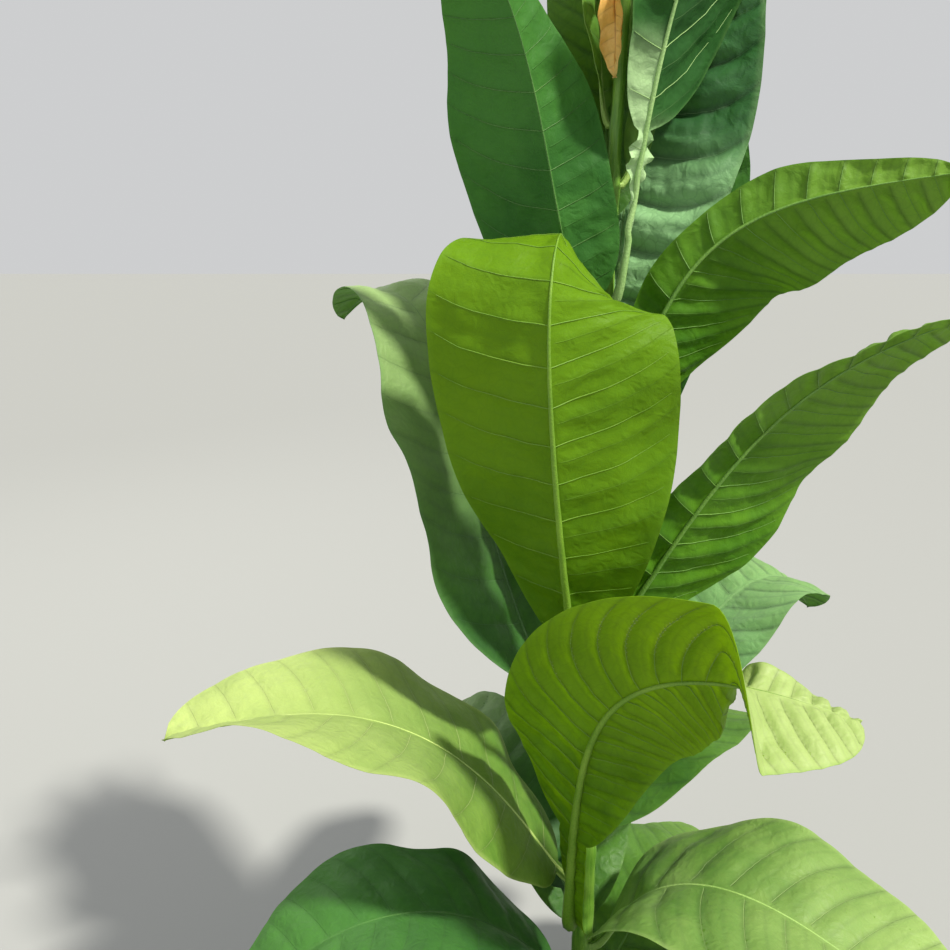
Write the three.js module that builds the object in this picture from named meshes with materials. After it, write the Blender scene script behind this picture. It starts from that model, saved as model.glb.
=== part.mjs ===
// A tobacco plant rooted in the ground: one upright stem, big leaves spiralling up it,
// young leaves and a bud at its tip, and one withered leaf.
// Millimetres, +Z up. The origin is the middle of the flat cut under the stem, at ground level.
import * as THREE from "three";

const DEG = Math.PI / 180;

// Stem
const STEM_HEIGHT = 1700;
const STEM_FOOT_RADIUS = 16.5;
const STEM_TIP_RADIUS = 5.5;
const STEM_TAPER = 1.15;
const ROOT_FLARE = 6;
const FLARE_HEIGHT = 35;
const SWAY_X = 6;
const SWAY_X_TURNS = 1.1;
const SWAY_Y = 5;
const SWAY_Y_TURNS = 0.85;
const STEM_SIDES = 16;
const STEM_RING_STEP = 60;
const FLARE_RINGS = 4;

// Leaves
const LEAF_ROWS = 16;
const LEAF_COLUMNS = 6;
const STEPS_PER_ROW = 4;
const THICKNESS_SHARE = 0.0105;
const LEAF_TO_STEM_GAP = 0.35;
const NARROWEST_HALF = 1.5;
const CLASP_LIFT = 30;
const CLASP_SHARE = 0.1;
const FLIP_SHARE = 0.07;
const OUTLINE_POWER = 1.24;
const SEATING_ROUNDS = 8;

// Bud at the tip of the stem
const BUD_LENGTH = 46;
const BUD_RADIUS = 7;
const BUD_TIP_RADIUS = 0.6;
const BUD_FOOT_SHARE = 0.7;
const BUD_RINGS = [0, 0.2, 0.45, 0.7, 0.9, 1];

// What a leaf is when its own line does not say otherwise. Lengths in mm, angles in degrees,
// and places along the leaf as a share of its length.
// z and heading: where it leaves the stem. rise and droop: how steep the midrib is at its
// foot and at its tip. bend and snap: where it changes from one to the other, and how suddenly.
// out and ease: how much flatter it starts out from the stem, and for how long.
// sweep: how far the midrib swings round. roll and twist: how the blade is turned about the
// midrib, at its foot and from foot to tip. flip and flipAt: a late turn of the blade.
// tipLeft: the share of the left half's width that stays past that turn.
// left and right: how much each half is lifted, and leftEnd and rightEnd the same at the tip.
// curl: how the halves arch towards their margins. lop: how much narrower the right half is.
// wave, waves and phase: the ruffled margin. wide: where the blade is widest.
// full: how blunt its outline is. neck and stalk: the share that is a winged stalk, and its half width.
const LEAF_DEFAULTS = {
  rise: 60, droop: -10, bend: 0.55, snap: 6, out: 30, ease: 0.035, sweep: 0,
  roll: 0, twist: 0, flip: 0, flipAt: 0.8, tipLeft: 1, left: 12, right: 12, curl: -12, lop: 0,
  wave: 0.06, waves: 3, phase: 0, wide: 0.5, full: 1, neck: 0.06, stalk: 9,
};

const LEAVES = [
  { name: "leaf_01", z: 110, heading: 70, length: 360, width: 170, rise: 42, droop: -42, bend: 0.35 },
  { name: "leaf_02", z: 175, heading: 305, length: 420, width: 190, rise: 48, droop: -40, bend: 0.4 },
  { name: "leaf_03", z: 235, heading: 170, length: 470, width: 210, rise: 48, droop: -42, bend: 0.42 },
  { name: "leaf_04", z: 300, heading: 45, length: 520, width: 230, rise: 50, droop: -40, bend: 0.45 },
  { name: "leaf_05", z: 345, heading: 258, length: 540, width: 240, rise: 48, droop: -40, bend: 0.45 },
  { name: "leaf_06", z: 390, heading: 198, length: 560, width: 250, rise: 54, droop: -40 },
  { name: "leaf_07", z: 415, heading: 95, length: 580, width: 240, rise: 52, droop: -40, bend: 0.45 },
  { name: "leaf_08", z: 445, heading: 325, length: 610, width: 290, rise: 72, droop: -25, bend: 0.36,
    snap: 8 },
  { name: "leaf_09", z: 490, heading: 130, length: 560, width: 210, rise: 60, droop: -50, bend: 0.5 },
  { name: "leaf_10", z: 510, heading: 246, length: 700, width: 226, rise: 84, droop: -25, bend: 0.69,
    snap: 9, sweep: 120, roll: -44, twist: -22, flip: 85, flipAt: 0.81, tipLeft: 0.5, left: -8,
    lop: -0.16, wide: 0.54, neck: 0.24, stalk: 29 },
  { name: "leaf_11", z: 550, heading: 190, length: 650, width: 270, rise: 62, droop: -14, bend: 0.6,
    left: -30, leftEnd: 42, right: 18, lop: 0.05, wide: 0.52, full: 1.2 },
  { name: "leaf_12", z: 600, heading: 48, length: 480, width: 200, rise: 40, droop: -40, bend: 0.5 },
  { name: "leaf_13", z: 650, heading: 80, length: 600, width: 240, rise: 58, droop: -30, bend: 0.5 },
  { name: "leaf_14", z: 715, heading: 33, length: 510, width: 200, rise: 46, droop: -60, bend: 0.78,
    snap: 9 },
  { name: "leaf_15", z: 770, heading: 146, length: 750, width: 310, rise: 72, droop: -50, bend: 0.87,
    snap: 20, ease: 0.15, wide: 0.42, neck: 0.12 },
  { name: "leaf_16", z: 845, heading: 236, length: 690, width: 276, rise: 72, droop: 200, bend: 0.87,
    snap: 18, sweep: 25, left: 8, leftEnd: 60, right: 8, curl: -15, lop: 0.06, wide: 0.64, neck: 0.12 },
  { name: "leaf_17", z: 890, heading: 100, length: 560, width: 220, rise: 76, droop: 20, bend: 0.7 },
  { name: "leaf_18", z: 930, heading: 345, length: 570, width: 180, rise: 64, droop: 20, bend: 0.75,
    roll: -50, twist: 30, left: -10, lop: 0.42, wide: 0.42 },
  { name: "leaf_19", z: 1040, heading: 114, length: 500, width: 185, rise: 66, droop: 0, bend: 0.65 },
  { name: "leaf_20", z: 1125, heading: 45, length: 500, width: 160, rise: 56, droop: 75, lop: 0.15 },
  { name: "leaf_21", z: 1190, heading: 345, length: 495, width: 155, rise: 76, droop: 8, bend: 0.5,
    snap: 9, roll: -50, left: 0, right: 60, lop: 0.5 },
  { name: "leaf_22", z: 1225, heading: 66, length: 640, width: 198, rise: 81, droop: 55, bend: 0.7,
    lop: -0.4, neck: 0.14 },
  { name: "leaf_23", z: 1280, heading: 138, length: 350, width: 116, rise: 60, droop: 70, bend: 0.6,
    out: 40, ease: 0.1, lop: -0.25 },
  { name: "leaf_24", z: 1320, heading: 215, length: 460, width: 180, rise: 80, droop: 50, bend: 0.8,
    out: 38, ease: 0.14, sweep: -5, roll: 28, left: 10, leftEnd: 120, right: 10, lop: -0.25, wide: 0.38 },
  { name: "leaf_25", z: 1345, heading: 302, length: 540, width: 210, rise: 82, droop: 60, bend: 0.6,
    sweep: 10, left: 20, right: 20, lop: 0.5, neck: 0.34, stalk: 6 },
  { name: "leaf_26", z: 1410, heading: 95, length: 440, width: 130, rise: 80, droop: 55, bend: 0.7 },
  { name: "leaf_27", z: 1470, heading: 5, length: 370, width: 100, rise: 80, droop: 58, bend: 0.7, stalk: 6 },
  { name: "leaf_28", z: 1530, heading: 150, length: 310, width: 85, rise: 84, droop: 62, bend: 0.7,
    stalk: 5 },
  { name: "leaf_29", z: 1590, heading: 50, length: 250, width: 62, rise: 84, droop: 64, bend: 0.7, stalk: 4 },
  { name: "leaf_30", z: 1640, heading: 140, length: 190, width: 44, rise: 84, droop: 66, bend: 0.7,
    stalk: 4 },
  { name: "withered_leaf", z: 1670, heading: 246, length: 120, width: 38, rise: 20, droop: -100, bend: 0.2,
    snap: 20, left: 35, right: 25, curl: 40, wave: 0.2, waves: 4, stalk: 3 },
];

function stemCentre(z) {
  const k = z / STEM_HEIGHT;
  const swayX = SWAY_X * Math.sin(2 * Math.PI * SWAY_X_TURNS * k) * k;
  const swayY = SWAY_Y * Math.sin(2 * Math.PI * SWAY_Y_TURNS * k);
  return new THREE.Vector3(swayX, swayY, z);
}

function stemRadius(z) {
  const tapered = STEM_FOOT_RADIUS - (STEM_FOOT_RADIUS - STEM_TIP_RADIUS) * (z / STEM_HEIGHT) ** STEM_TAPER;
  return tapered + ROOT_FLARE * Math.exp(-z / FLARE_HEIGHT);
}

// Closes a stack of rings, each with the same number of points, into one body with flat ends.
function bodyFromRings(rings) {
  const sides = rings[0].length;
  const points = rings.flat();
  const faces = [];
  const at = (ring, side) => ring * sides + (side % sides);
  for (let ring = 0; ring + 1 < rings.length; ring += 1) {
    for (let side = 0; side < sides; side += 1) {
      const a = at(ring, side);
      const b = at(ring, side + 1);
      const c = at(ring + 1, side + 1);
      const d = at(ring + 1, side);
      faces.push(a, b, c, a, c, d);
    }
  }
  const last = rings.length - 1;
  const middle = (ring) => ring.reduce((sum, p) => sum.add(p), new THREE.Vector3()).divideScalar(sides);
  points.push(middle(rings[0]), middle(rings[last]));
  for (let side = 0; side < sides; side += 1) {
    faces.push(points.length - 2, at(0, side + 1), at(0, side));
    faces.push(points.length - 1, at(last, side), at(last, side + 1));
  }
  return closedGeometry(points, faces);
}

function closedGeometry(points, faces) {
  const geometry = new THREE.BufferGeometry().setFromPoints(points);
  geometry.setIndex(faces);
  geometry.computeVertexNormals();
  return geometry;
}

// The level way out from the stem at a turn in radians.
function outward(turn) {
  return new THREE.Vector3(Math.cos(turn), Math.sin(turn), 0);
}

function ringAt(centre, radius) {
  return Array.from({ length: STEM_SIDES }, (_, i) => {
    const turn = (2 * Math.PI * i) / STEM_SIDES;
    return outward(turn).multiplyScalar(radius).add(centre);
  });
}

function stemGeometry() {
  const heights = Array.from({ length: FLARE_RINGS }, (_, i) => (FLARE_HEIGHT * i) / 2);
  for (let z = 2 * FLARE_HEIGHT; z < STEM_HEIGHT; z += STEM_RING_STEP) {
    heights.push(z);
  }
  heights.push(STEM_HEIGHT);
  return bodyFromRings(heights.map((z) => ringAt(stemCentre(z), stemRadius(z))));
}

function budGeometry() {
  const foot = stemCentre(STEM_HEIGHT);
  return bodyFromRings(BUD_RINGS.map((share) => {
    const radius = BUD_RADIUS * Math.sqrt(1 - share ** 2) * (BUD_FOOT_SHARE + share) + BUD_TIP_RADIUS;
    const z = STEM_HEIGHT + LEAF_TO_STEM_GAP + BUD_LENGTH * share;
    return ringAt(new THREE.Vector3(foot.x, foot.y, z), radius);
  }));
}

const smooth = (x) => {
  const t = Math.min(Math.max(x, 0), 1);
  return t * t * (3 - 2 * t);
};

function bendShare(s, leaf) {
  const logistic = (x) => 1 / (1 + Math.exp(-leaf.snap * x));
  const start = logistic(-leaf.bend);
  return (logistic(s - leaf.bend) - start) / (logistic(1 - leaf.bend) - start);
}

// How much of its late turn a leaf has made.
function pastFlip(s, leaf) {
  return smooth((s - leaf.flipAt) / FLIP_SHARE + 0.5);
}

// The way the midrib runs, the upper side's normal, and the way to the right half.
function frameAt(s, leaf) {
  const start = leaf.out * Math.exp(-s / leaf.ease);
  const steep = (leaf.rise + (leaf.droop - leaf.rise) * bendShare(s, leaf) - start) * DEG;
  const round = (leaf.heading + leaf.sweep * s) * DEG;
  const rolled = (leaf.roll + leaf.twist * s + leaf.flip * pastFlip(s, leaf)) * DEG;
  const along = outward(round).multiplyScalar(Math.cos(steep)).setZ(Math.sin(steep));
  const up = outward(round).multiplyScalar(-Math.sin(steep)).setZ(Math.cos(steep));
  const side = new THREE.Vector3(Math.sin(round), -Math.cos(round), 0);
  return {
    along,
    up: up.clone().multiplyScalar(Math.cos(rolled)).addScaledVector(side, Math.sin(rolled)),
    side: side.clone().multiplyScalar(Math.cos(rolled)).addScaledVector(up, -Math.sin(rolled)),
  };
}

function halfWidth(s, leaf) {
  const u = Math.min(Math.max((s - leaf.neck) / (1 - leaf.neck), 0), 1);
  const outline = (u / leaf.wide) ** leaf.wide * ((1 - u) / (1 - leaf.wide)) ** (1 - leaf.wide);
  const blade = outline ** (OUTLINE_POWER / leaf.full);
  const wing = leaf.stalk * Math.sqrt(1 - s) * (1 - blade);
  return Math.max((leaf.width / 2) * blade + wing, NARROWEST_HALF);
}

// Rows of points on the middle of the blade, from margin to margin and from foot to tip.
function bladeRows(leaf) {
  const reach = stemRadius(leaf.z) + LEAF_TO_STEM_GAP;
  const point = stemCentre(leaf.z).addScaledVector(outward(leaf.heading * DEG), reach);
  const rows = [];
  const fine = LEAF_ROWS * STEPS_PER_ROW;
  for (let row = 0; row <= LEAF_ROWS; row += 1) {
    const s = row / LEAF_ROWS;
    const { up, side } = frameAt(s, leaf);
    const clasp = CLASP_LIFT * Math.exp(-s / CLASP_SHARE);
    const points = new Array(LEAF_COLUMNS + 1);
    const half = LEAF_COLUMNS / 2;
    points[half] = point.clone();
    for (const hand of [-1, 1]) {
      const [lift, liftEnd] = hand < 0 ? [leaf.left, leaf.leftEnd] : [leaf.right, leaf.rightEnd];
      const kept = hand < 0 ? 1 - (1 - leaf.tipLeft) * pastFlip(s, leaf) : 1;
      const reachOut = halfWidth(s, leaf) * (1 - hand * leaf.lop) * kept;
      let across = 0;
      let raised = 0;
      for (let column = 1; column <= half; column += 1) {
        const angle = (lift + (liftEnd - lift) * s + clasp + leaf.curl * ((column - 0.5) / half)) * DEG;
        across += (reachOut * Math.cos(angle)) / half;
        raised += (reachOut * Math.sin(angle)) / half;
        const share = column / half;
        const turn = 2 * Math.PI * (leaf.waves * s + leaf.phase + hand / 4);
        const ruffle = leaf.wave * halfWidth(s, leaf) * share ** 2 * Math.sin(turn);
        points[half + hand * column] = point.clone().addScaledVector(side, hand * across)
          .addScaledVector(up, raised + ruffle);
      }
    }
    rows.push(points);
    for (let step = 0; step < STEPS_PER_ROW && row < LEAF_ROWS; step += 1) {
      const middle = (row * STEPS_PER_ROW + step + 0.5) / fine;
      point.addScaledVector(frameAt(middle, leaf).along, leaf.length / fine);
    }
  }
  return rows;
}

// The blade's own normal at a point of its grid, on the upper side.
function bladeNormal(rows, row, column) {
  const before = rows[Math.max(row - 1, 0)][column];
  const after = rows[Math.min(row + 1, LEAF_ROWS)][column];
  const leftward = rows[row][Math.max(column - 1, 0)];
  const rightward = rows[row][Math.min(column + 1, LEAF_COLUMNS)];
  const along = after.clone().sub(before);
  return rightward.clone().sub(leftward).cross(along).normalize();
}

// A row's outline as a ring: the upper side from left to right, then the lower side back.
function leafRings(leaf) {
  const rows = bladeRows(leaf);
  const offset = (leaf.length * THICKNESS_SHARE) / 2;
  return rows.map((points, row) => {
    const normals = points.map((_, column) => bladeNormal(rows, row, column));
    const moved = (by) => points.map((p, column) => p.clone().addScaledVector(normals[column], by));
    return { upper: moved(offset), lower: moved(-offset) };
  });
}

// Moves a leaf straight out from the stem until its nearest corner clears the stem by the gap.
function seatOnStem(points, leaf) {
  const away = outward(leaf.heading * DEG);
  for (let round = 0; round < SEATING_ROUNDS; round += 1) {
    let nearest = Infinity;
    for (const p of points) {
      if (p.z < STEM_HEIGHT) {
        const centre = stemCentre(p.z);
        nearest = Math.min(nearest, Math.hypot(p.x - centre.x, p.y - centre.y) - stemRadius(p.z));
      }
    }
    const shift = LEAF_TO_STEM_GAP - nearest;
    points.forEach((p) => p.addScaledVector(away, shift));
  }
}

function leafGeometry(leaf) {
  const rings = leafRings(leaf);
  const points = rings.flatMap(({ upper, lower }) => [...upper, ...lower]);
  seatOnStem(points, leaf);
  const width = LEAF_COLUMNS + 1;
  const up = (row, column) => row * 2 * width + column;
  const low = (row, column) => up(row, column) + width;
  const right = LEAF_COLUMNS;
  const end = LEAF_ROWS;
  const faces = [];
  const quad = (a, b, c, d) => faces.push(a, b, c, a, c, d);
  for (let row = 0; row < end; row += 1) {
    for (let column = 0; column < right; column += 1) {
      quad(up(row, column), up(row, column + 1), up(row + 1, column + 1), up(row + 1, column));
      quad(low(row, column), low(row + 1, column), low(row + 1, column + 1), low(row, column + 1));
    }
    quad(low(row, 0), up(row, 0), up(row + 1, 0), low(row + 1, 0));
    quad(up(row, right), low(row, right), low(row + 1, right), up(row + 1, right));
  }
  for (let column = 0; column < right; column += 1) {
    quad(up(0, column), low(0, column), low(0, column + 1), up(0, column + 1));
    quad(low(end, column), up(end, column), up(end, column + 1), low(end, column + 1));
  }
  return closedGeometry(points, faces);
}

const STEM_GREEN = new THREE.MeshStandardMaterial({ color: 0x8aa84e, roughness: 0.6, metalness: 0 });
const LEAF_GREEN = new THREE.MeshStandardMaterial({ color: 0x5c9130, roughness: 0.55, metalness: 0 });
const YOUNG_GREEN = new THREE.MeshStandardMaterial({ color: 0x9cc25a, roughness: 0.55, metalness: 0 });
const WITHERED_BROWN = new THREE.MeshStandardMaterial({ color: 0xb8843f, roughness: 0.8, metalness: 0 });

function named(name, geometry, material) {
  const mesh = new THREE.Mesh(geometry, material);
  mesh.name = name;
  return mesh;
}

const plant = new THREE.Group();
plant.name = "tobacco_plant";
plant.add(named("stem", stemGeometry(), STEM_GREEN));
plant.add(named("bud", budGeometry(), YOUNG_GREEN));
for (const line of LEAVES) {
  const { left, right } = { ...LEAF_DEFAULTS, ...line };
  const leaf = { ...LEAF_DEFAULTS, leftEnd: left, rightEnd: right, ...line };
  const material = line.name === "withered_leaf" ? WITHERED_BROWN : LEAF_GREEN;
  plant.add(named(leaf.name, leafGeometry(leaf), material));
}

export default plant;
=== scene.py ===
# %% [markdown]
# # A grown tobacco plant
#
# One upright green stem carries big soft leaves in a spiral, with young leaves and a bud at its tip.
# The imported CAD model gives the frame: metres, +Z up, the origin under the stem at ground level.
# Each CAD leaf is a coarse thick blade. This script grows every leaf again by the same rule, finer
# and thinner, with blistered skin and raised ribs, and keeps each one in its own place.

import math
from types import SimpleNamespace

import bpy
import numpy as np
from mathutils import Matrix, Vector


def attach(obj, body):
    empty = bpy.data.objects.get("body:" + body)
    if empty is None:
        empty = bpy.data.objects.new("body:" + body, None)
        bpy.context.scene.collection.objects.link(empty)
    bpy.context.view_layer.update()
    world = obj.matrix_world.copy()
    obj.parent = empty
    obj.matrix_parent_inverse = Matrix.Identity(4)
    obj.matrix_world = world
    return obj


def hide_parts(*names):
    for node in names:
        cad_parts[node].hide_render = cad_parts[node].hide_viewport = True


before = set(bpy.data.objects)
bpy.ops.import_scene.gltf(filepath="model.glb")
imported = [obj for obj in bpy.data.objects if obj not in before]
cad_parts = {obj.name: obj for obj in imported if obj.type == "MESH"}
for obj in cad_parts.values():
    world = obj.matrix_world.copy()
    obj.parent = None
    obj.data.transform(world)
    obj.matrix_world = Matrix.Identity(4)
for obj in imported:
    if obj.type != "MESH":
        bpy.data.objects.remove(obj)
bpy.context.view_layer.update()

# %% [markdown]
# ## The camera and the light
#
# The photograph was taken from about a metre away, looking down on the middle of the plant. The
# horizon gives the tilt. The height of 1.5 m is an assumption, a standing person's eye or chest
# height, and the lens is an ordinary one. The sun stood to the front right and high up, so some
# leaves are lit and others lie in shade. A studio copies that with one softened sun lamp from
# there, two weak square lights in front and behind, and a pale world.

# %% Camera
PHOTO_PIXELS = 950
FOCAL_PIXELS = 974
SENSOR_MM = 36
CAMERA_PLACE = (-0.15, -1.1, 1.5)
CAMERA_TILT_DOWN = math.radians(18.2)

camera = bpy.data.objects.new("camera", bpy.data.cameras.new("camera"))
camera.data.sensor_width = SENSOR_MM
camera.data.lens = SENSOR_MM * FOCAL_PIXELS / PHOTO_PIXELS
camera.data.clip_start = 0.01
camera.location = CAMERA_PLACE
camera.rotation_euler = (math.pi / 2 - CAMERA_TILT_DOWN, 0, 0)
bpy.context.scene.collection.objects.link(camera)
bpy.context.scene.camera = camera
print("lens in millimetres:", round(camera.data.lens, 2))

# %% Lights
AIM = Vector((0, 0, 1.05))


def soft_light(name, place, size, power, colour):
    """A square light at a place, turned towards the middle of the plant."""
    lamp = bpy.data.lights.new(name, "AREA")
    lamp.size = size
    lamp.energy = power
    lamp.color = colour
    holder = bpy.data.objects.new(name, lamp)
    holder.location = place
    holder.rotation_euler = (AIM - holder.location).to_track_quat("-Z", "Y").to_euler()
    bpy.context.scene.collection.objects.link(holder)


soft_light("front_side", (-1.8, -2.6, 2.6), 2.4, 12, (0.9, 0.96, 1.0))
soft_light("back_side", (-1.6, 2.6, 2.8), 2.4, 24, (1.0, 1.0, 0.96))

SUN_PLACE = (0.49, -0.37, 0.79)
SUN_STRENGTH = 5.0
SUN_SOFTNESS = math.radians(4.5)
sun = bpy.data.lights.new("sun_side", "SUN")
sun.energy = SUN_STRENGTH
sun.angle = SUN_SOFTNESS
sun.color = (1.0, 0.97, 0.88)
sun_holder = bpy.data.objects.new("sun_side", sun)
sun_holder.rotation_euler = (-Vector(SUN_PLACE)).to_track_quat("-Z", "Y").to_euler()
bpy.context.scene.collection.objects.link(sun_holder)

WORLD_GREY = (0.9, 0.91, 0.92, 1)
WORLD_STRENGTH = 0.68
world = bpy.data.worlds.new("pale_studio")
world.use_nodes = True
backdrop = world.node_tree.nodes["Background"]
backdrop.inputs["Color"].default_value = WORLD_GREY
backdrop.inputs["Strength"].default_value = WORLD_STRENGTH
bpy.context.scene.world = world
bpy.context.scene.view_settings.view_transform = "Standard"

# %% [markdown]
# ## Writing materials as sums
#
# Node trees get long. One small class wraps an output socket, and Python's own operators add the
# Math nodes, so a mask can be written as `1 - mask * 0.5`. Every other node comes from its one
# method, which takes the node's type, its settings and what its sockets get.

# %% Wires


class Wire:
    """An output socket of a node tree that can be used in sums."""

    def __init__(self, tree, socket=None):
        self.tree = tree
        self.socket = socket

    def __getitem__(self, output):
        return Wire(self.tree, self.socket.node.outputs[output])

    def node(self, kind, settings=None, inputs=None):
        """Adds a node: first its settings, then the values or the wires of its sockets."""
        made = self.tree.nodes.new(kind)
        for name, value in (settings or {}).items():
            setattr(made, name, value)
        for key, value in (inputs or {}).items():
            if isinstance(value, Wire):
                self.tree.links.new(value.socket, made.inputs[key])
            else:
                made.inputs[key].default_value = value
        return Wire(self.tree, made.outputs[0] if made.outputs else None)

    def math(self, operation, *values):
        return self.node("ShaderNodeMath", {"operation": operation}, dict(enumerate(values)))

    def __add__(self, other):
        return self.math("ADD", self, other)

    def __sub__(self, other):
        return self.math("SUBTRACT", self, other)

    def __rsub__(self, other):
        return self.math("SUBTRACT", other, self)

    def __mul__(self, other):
        return self.math("MULTIPLY", self, other)

    def __truediv__(self, other):
        return self.math("DIVIDE", self, other)

    def __pow__(self, other):
        return self.math("POWER", self, other)

    def __abs__(self):
        return self.math("ABSOLUTE", self)

    __radd__ = __add__
    __rmul__ = __mul__


def step_up(wire, low, high):
    """0 below low, 1 above high, and a smooth rise between them."""
    inputs = {"Value": wire, "From Min": low, "From Max": high}
    return wire.node("ShaderNodeMapRange", {"interpolation_type": "SMOOTHSTEP"}, inputs)


def mixed(mask, low, high):
    """The colour low where the mask is 0, and high where it is 1."""
    return mask.node("ShaderNodeMix", {"data_type": "RGBA"}, {0: mask, 6: low, 7: high})[2]


def paint(red, green, blue):
    """A colour from its values on screen, 0 to 255."""
    screen = np.array([red, green, blue]) / 255
    linear = np.where(screen <= 0.04045, screen / 12.92, ((screen + 0.055) / 1.055) ** 2.4)
    return (*linear.tolist(), 1)


def new_material(name):
    """An empty material, and a wire to start its tree from."""
    material = bpy.data.materials.new(name)
    material.use_nodes = True
    material.node_tree.nodes.clear()
    return material, Wire(material.node_tree)


def noise(place, scale, detail=2):
    inputs = {"Vector": place, "Scale": scale, "Detail": detail}
    return place.node("ShaderNodeTexNoise", {}, inputs)


def cell_edges(place, scale):
    """How far a point is from the edge of its cell: 0 on the edges of an uneven network."""
    inputs = {"Vector": place, "Scale": scale}
    return place.node("ShaderNodeTexVoronoi", {"feature": "DISTANCE_TO_EDGE"}, inputs)


# %% [markdown]
# ## The skin of a leaf
#
# A tobacco leaf is thin and soft. Its upper skin is deeper green with pale flat veins, its under
# skin is lighter and duller with raised ones, and sunlight comes through both. So each skin mixes
# an ordinary surface with a translucent one. The pattern has to follow the leaf, so the mesh
# carries two attributes. `blade_place` is the place on the flattened blade in metres, for the fine
# network, and `blade_share` is the share of the length, the share of the half width and the count
# of side veins up to that point, so that a vein lies wherever the count is a whole number.

# %% Leaf skins
VEIN_WIDTH = 0.012
NETWORK_SCALE = 75
MESH_SCALE = 260
SWIRL_SCALE = 30
SWIRL_SHARE = 0.03
PATCH_SCALE = 9
MOTTLE_SCALE = 60
MIDRIB_EDGES = (0.0015, 0.0028)
SKIN_RELIEF = {"Strength": 0.8, "Distance": 0.001}
# Painted shade: the dark green put into the creases along and between the side veins.
PAINTED_CREASE_SHADE = paint(22, 52, 18)
SHINE = {1: 0.15, -1: 0.35}


def leaf_skin(name, shade, light, ramp_tone, vein, through, passes, valley, ramp_span, raised):
    """One skin of a leaf: shade and light are its greens in painted shade and in painted sunlight, mixed in
    random patches, and the next colour is its paler colour, partly the leaf's own paler tip and partly
    painted sunlight there. Through is the colour of the light that comes through, passes is how much does,
    and valley is how much painted shade darkens the creases along its side veins. The span that follows
    valley gives where along the leaf the paler colour starts, where it is full and how much later that is on
    the right half. With the start after the end, the paler colour lies at the foot, where it is a painted
    sheen. Raised is 1 for ribs and -1 for grooves."""
    material, start = new_material(name)
    place = start.node("ShaderNodeAttribute", {"attribute_name": "blade_place"})["Vector"]
    share = start.node("ShaderNodeAttribute", {"attribute_name": "blade_share"})["Vector"]
    share = share.node("ShaderNodeSeparateXYZ", {}, {0: share})
    along = share["X"]
    out = share["Y"]
    count = share["Z"]

    swirl = place.node("ShaderNodeTexNoise", {}, {"Vector": place, "Scale": SWIRL_SCALE})["Color"]
    bent = place.node("ShaderNodeMix", {"data_type": "VECTOR"}, {0: SWIRL_SHARE, 4: place, 5: swirl})[1]
    from_vein = 0.5 - abs(count.math("FRACT", count) - 0.5)
    width = VEIN_WIDTH * (1.25 - out)
    apart = step_up(out, 0.02, 0.08)
    side_vein = (1 - step_up(from_vein / width, 0.35, 1.3)) * apart
    pleats = count * 2
    from_pleat = 0.5 - abs(pleats.math("FRACT", pleats) - 0.5)
    # The creases along the side veins and halfway between them, where painted shade goes.
    low = (1 - step_up(from_vein, 0.01, 0.16)) * apart
    low = low.math("MAXIMUM", low, (1 - step_up(from_pleat, 0.01, 0.2)) * apart * 0.45)
    sideways = place.node("ShaderNodeSeparateXYZ", {}, {0: place})["X"]
    beside = abs(sideways)
    midrib = 1 - step_up(beside / (1.05 - along), *MIDRIB_EDGES)
    cells = cell_edges(bent, NETWORK_SCALE)
    mesh = cell_edges(bent, MESH_SCALE)
    net = 1 - step_up(cells, 0.02, 0.09)
    fine = 1 - step_up(mesh, 0.04, 0.16)
    bulge = step_up(cells, 0.0, 0.45)
    # Random patches that mix a green in painted shade with a green in painted sunlight; they also vary the
    # roughness.
    painted_dapple = step_up(noise(place, PATCH_SCALE, 4), 0.38, 0.64)
    mottle = step_up(noise(place, MOTTLE_SCALE, 3), 0.3, 0.7)
    rim = step_up(out, 0.93, 1.0) * 0.3

    green = mixed(painted_dapple * 0.7 + mottle * 0.3, shade, light)
    # A paler colour along the length: partly the leaf's own paler tip and partly painted sunlight there.
    # Where the span runs backwards it lies at the foot as a painted sheen.
    starts, full, later = ramp_span
    ramp_share = step_up(along - step_up(sideways, -0.001, 0.001) * later, starts, full)
    green = mixed(ramp_share * (0.85 + painted_dapple * 0.15), green, ramp_tone)
    # Painted shade in the creases, and along the network of small veins.
    green = mixed(low * valley, green, PAINTED_CREASE_SHADE)
    green = mixed(net * valley * 0.4 + fine * 0.06, green, shade)
    green = mixed(side_vein * 0.4 + rim, green, vein)
    green = mixed(midrib * 0.7, green, vein)

    height = raised * (side_vein - bulge * 0.7 - fine * 0.1) + mottle * 0.2
    relief = height.node("ShaderNodeBump", {}, {**SKIN_RELIEF, "Height": height})
    surface = start.node("ShaderNodeBsdfPrincipled", {}, {
        "Base Color": green,
        "Roughness": 0.62 - mottle * 0.1 - painted_dapple * 0.08,
        "Specular IOR Level": SHINE[raised],
        "Normal": relief,
    })
    glow = start.node("ShaderNodeBsdfTranslucent", {}, {"Color": through})
    clear = (1 - side_vein * 0.4) * (1 - net * 0.15) * (1 - low * valley) * (1 - midrib * 0.5)
    factor = passes * clear * (0.88 + mottle * 0.12)
    whole = start.node("ShaderNodeMixShader", {}, {0: factor, 1: surface, 2: glow})
    start.node("ShaderNodeOutputMaterial", {}, {"Surface": whole})
    return material


def leaf_skins(name, upper, under, vein, through, passes, valley, ramp_span=(0.25, 1, 0)):
    """Both skins of one kind of leaf. Each side is given as three colours: its green in painted shade, its
    green in painted sunlight and its paler colour along the length.
    """
    return [
        leaf_skin(name + "_upper", *upper, vein, through, passes, valley, ramp_span, -1),
        leaf_skin(name + "_under", *under, vein, through, passes, valley, ramp_span, 1),
    ]


# The finishes are lit and shaded copies of one leaf colour: sunlit, glowing, pale and bright hold painted
# sunlight, and deep and blue hold painted shade.
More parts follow.
